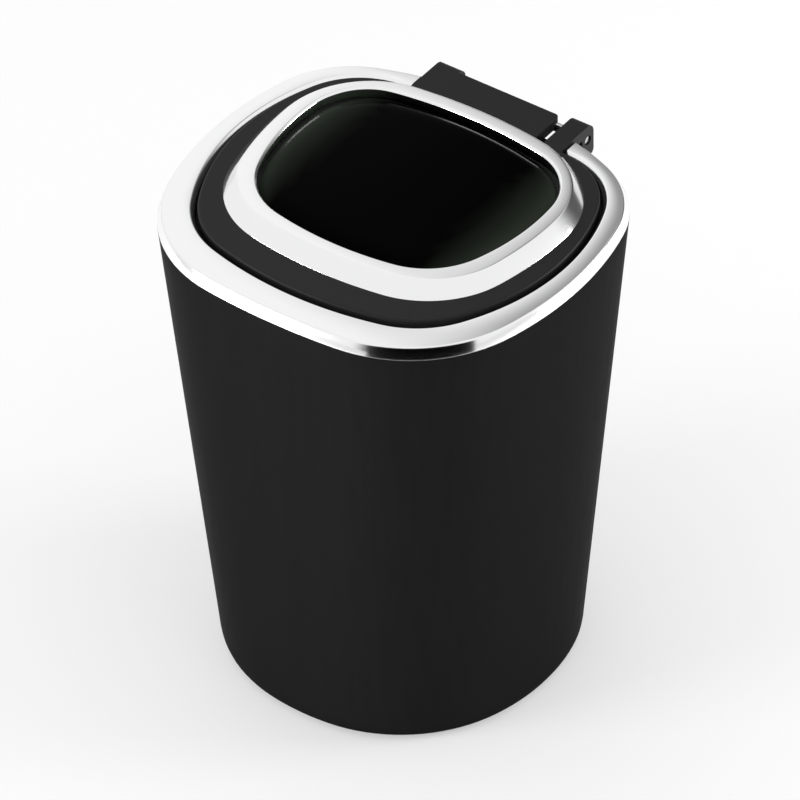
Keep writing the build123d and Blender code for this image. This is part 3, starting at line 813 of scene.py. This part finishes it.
# %% Spring
spring_low = np.array(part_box("hinge_spring")[0]) / MM
pin_low, pin_high = (np.array(corner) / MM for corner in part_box("hinge_pin"))
pin_y, pin_z = (pin_low[1:] + pin_high[1:]) / 2
WIRE = 0.35
COIL = 1.4
TURNS = 4.5
PITCH = 1.5
LEG = 3.8
SIDES = 12
TURN_POINTS = 200
LEG_POINTS = 8
LEG_START = 0.02
coil_start = spring_low[0] + WIRE
turn = np.linspace(0, TURNS * 2 * math.pi, TURN_POINTS)
away = np.column_stack([np.zeros_like(turn), np.sin(turn), -np.cos(turn)])
line = np.column_stack([
    coil_start + turn / (2 * math.pi) * PITCH,
    pin_y + COIL * away[:, 1],
    pin_z + COIL * away[:, 2],
])
leg = np.array([0, -LEG, 0]) * np.linspace(1, LEG_START, LEG_POINTS)[:, None]
line = np.vstack([line[0] + leg, line, line[-1] + leg[::-1]])
away = np.vstack([np.tile(away[0], (LEG_POINTS, 1)), away, np.tile(away[-1], (LEG_POINTS, 1))])
along = np.gradient(line, axis=0)
along /= np.linalg.norm(along, axis=1, keepdims=True)
sideways = np.cross(along, away)
sideways /= np.linalg.norm(sideways, axis=1, keepdims=True)
upward = np.cross(sideways, along)
around = np.linspace(0, 2 * math.pi, SIDES, endpoint=False)[None, :, None]
tube = line[:, None] + WIRE * (np.cos(around) * upward[:, None] + np.sin(around) * sideways[:, None])
tube_faces = sheet_faces(len(line), SIDES)
tube_faces += [list(range(SIDES)), list(range((len(line) - 1) * SIDES, len(line) * SIDES))]
make_piece("coil_wire", tube, tube_faces, spring_steel, "cup", "hinge_spring", 50)

# %% [markdown]
# ## Floor
# The photograph's ground is plain white. A strong lamp could burn the floor out, but
# it would burn the plating too. So the floor is nearly white, and to the camera alone
# a part of it glows, by Light Path's Is Camera Ray. The rest still takes the shadow.

# %% Floor
FLOOR_SIZE = 6.0
FLOOR_GLOW = 0.4


def flat_card(name, width, height):
    """A rectangle in its own XY plane, linked to the scene."""
    mesh = bpy.data.meshes.new(name)
    x, y = width / 2, height / 2
    mesh.from_pydata([(-x, -y, 0), (x, -y, 0), (x, y, 0), (-x, y, 0)], [], [(0, 1, 2, 3)])
    plane = bpy.data.objects.new(name, mesh)
    bpy.context.collection.objects.link(plane)
    return plane


floor = flat_card("floor", FLOOR_SIZE, FLOOR_SIZE)
floor_white, floor_tree, floor_shader = new_material("floor_white", (0.96, 0.96, 0.96), 0.9)
floor_shader.inputs["Specular IOR Level"].default_value = 0.0
floor_view = floor_tree.nodes.new("ShaderNodeLightPath")
floor_glow = floor_tree.nodes.new("ShaderNodeEmission")
blend = floor_tree.nodes.new("ShaderNodeMixShader")
share = product(floor_tree, floor_view.outputs["Is Camera Ray"], FLOOR_GLOW)
floor_tree.links.new(share, blend.inputs["Fac"])
floor_tree.links.new(floor_shader.outputs["BSDF"], blend.inputs[1])
floor_tree.links.new(floor_glow.outputs["Emission"], blend.inputs[2])
floor_tree.links.new(blend.outputs["Shader"], floor_tree.nodes["Material Output"].inputs["Surface"])
floor.data.materials.append(floor_white)
print("floor:", FLOOR_SIZE, "m")

# %% [markdown]
# ## Sky
# The sky is an even white, which shows every colour about as it is written. Plating
# needs something dark to reflect as well, or it looks like white paint. So the sky
# sinks to nearly black in two directions: behind the camera, low down, for the front
# bevel, and low on the far right for the frame's right slope. A picture of a studio
# would do the same, but two dot products are easier to move. The camera sees white.

# %% Sky
SKY = 0.92
BEHIND_CAMERA = dict(turn=0, lift=0, wide=44, narrow=30, depth=0.03)
FAR_RIGHT = dict(turn=140, lift=2, wide=48, narrow=18, depth=0.1)


def beside_camera(turn, distance, height):
    """A place at an angle from the camera's own direction, seen from above."""
    heading = AZIMUTH + math.radians(turn)
    return (distance * math.sin(heading), -distance * math.cos(heading), height)


def dark_lobe(tree, look, turn, lift, wide, narrow, depth):
    """Full brightness beyond the wide angle from one direction, and depth within the narrow one.

    The dot product of the look and that direction is the cosine of the angle between them.
    """
    lift = math.radians(lift)
    facing = tree.nodes.new("ShaderNodeVectorMath")
    facing.operation = "DOT_PRODUCT"
    facing.inputs[1].default_value = beside_camera(turn, math.cos(lift), math.sin(lift))
    tree.links.new(look, facing.inputs[0])
    start, stop = math.cos(math.radians(wide)), math.cos(math.radians(narrow))
    return spread(tree, facing.outputs["Value"], 1.0, depth, start, stop, smooth=True)


world = bpy.data.worlds.new("studio")
scene.world = world
world.use_nodes = True
sky = world.node_tree
look = sky.nodes.new("ShaderNodeTexCoord").outputs["Generated"]
lobes = product(sky, dark_lobe(sky, look, **BEHIND_CAMERA), dark_lobe(sky, look, **FAR_RIGHT))
path = sky.nodes.new("ShaderNodeLightPath")
seen = sky.nodes.new("ShaderNodeMix")
seen.inputs["B"].default_value = 1.0
sky.links.new(path.outputs["Is Camera Ray"], seen.inputs["Factor"])
sky.links.new(product(sky, lobes, SKY), seen.inputs["A"])
sky.links.new(seen.outputs["Result"], sky.nodes["Background"].inputs["Color"])
print("sky:", SKY)

# %% [markdown]
# ## Side boxes
# The photograph shows a broad soft highlight on each flank of the cup. They come from
# two soft boxes that stand low at the left and right. A high lamp would be easier to
# place, but it would light the lid and not the wall. These hardly touch the lid.

# %% Side boxes
BOX_DISTANCE = 0.6
BOX_HEIGHT = 0.12
BOX_SIZE = (0.25, 0.22)
BOX_POWER = 2.5
BOX_TURNS = dict(left_box=-72, right_box=92)
WALL_MIDDLE = Vector((0, 0, 0.07))


def soft_box(name, place, target, size, power):
    """A rectangular area light that looks from its place to a target."""
    data = bpy.data.lights.new(name, "AREA")
    data.shape = "RECTANGLE"
    data.size, data.size_y = size
    data.energy = power
    light = bpy.data.objects.new(name, data)
    light.location = place
    light.rotation_mode = "QUATERNION"
    light.rotation_quaternion = (target - Vector(place)).to_track_quat("-Z", "Y")
    bpy.context.collection.objects.link(light)


for name, turned in BOX_TURNS.items():
    soft_box(name, beside_camera(turned, BOX_DISTANCE, BOX_HEIGHT), WALL_MIDDLE, BOX_SIZE, BOX_POWER)
print("side boxes:", len(BOX_TURNS), "of", BOX_POWER, "W")

# %% [markdown]
# ## Cards
# Plating shows what stands near it. A black flag before the object gives the front
# bevel its black band, and a card behind, light at the left and grey at the right,
# gives the flat rim its slow change. The sky can't do that, because it is endlessly
# far and a flat mirror shows a single point of it. Both cards are seen by shiny
# surfaces only, so they neither stand in the picture nor shade the floor.

# %% Cards
FLAG_SIZE = (0.56, 0.2)
FLAG_TURN = 4
FLAG_DISTANCE = 0.4
BACK_SIZE = (0.5, 0.4)
BACK_DISTANCE = 0.45
BACK_BRIGHT = (0.97, 0.3)
BACK_CHANGE = (-0.04, 0.11)


def glowing_card(name, centre, target, size, bright, change):
    """A card that faces a target; from the start to the stop of its change along X its light turns."""
    plane = flat_card(name, *size)
    plane.location = centre
    plane.rotation_mode = "QUATERNION"
    plane.rotation_quaternion = (Vector(target) - Vector(centre)).to_track_quat("Z", "Y")
    material, tree, shader = new_material(name, (0, 0, 0), 1.0)
    tree.nodes.remove(shader)
    glow = tree.nodes.new("ShaderNodeEmission")
    place = tree.nodes.new("ShaderNodeTexCoord")
    split = tree.nodes.new("ShaderNodeSeparateXYZ")
    tree.links.new(place.outputs["Object"], split.inputs["Vector"])
    light = spread(tree, split.outputs["X"], *bright, *change, smooth=True)
    tree.links.new(light, glow.inputs["Color"])
    tree.links.new(glow.outputs["Emission"], tree.nodes["Material Output"].inputs["Surface"])
    plane.data.materials.append(material)
    plane.visible_camera = False
    plane.visible_diffuse = False
    plane.visible_shadow = False


flag_place = beside_camera(FLAG_TURN, FLAG_DISTANCE, FLAG_SIZE[1] / 2)
glowing_card("front_flag", flag_place, (0, 0, FLAG_SIZE[1] / 2), FLAG_SIZE, (0.0, 0.0), (0, 1))
lid_middle = Vector((0, 0, LID_TOP * MM))
mirrored_eye = Vector(beside_camera(180, math.cos(ELEVATION), math.sin(ELEVATION)))
back_place = lid_middle + BACK_DISTANCE * mirrored_eye
glowing_card("back_card", back_place, lid_middle, BACK_SIZE, BACK_BRIGHT, BACK_CHANGE)
print("cards: front_flag, back_card")
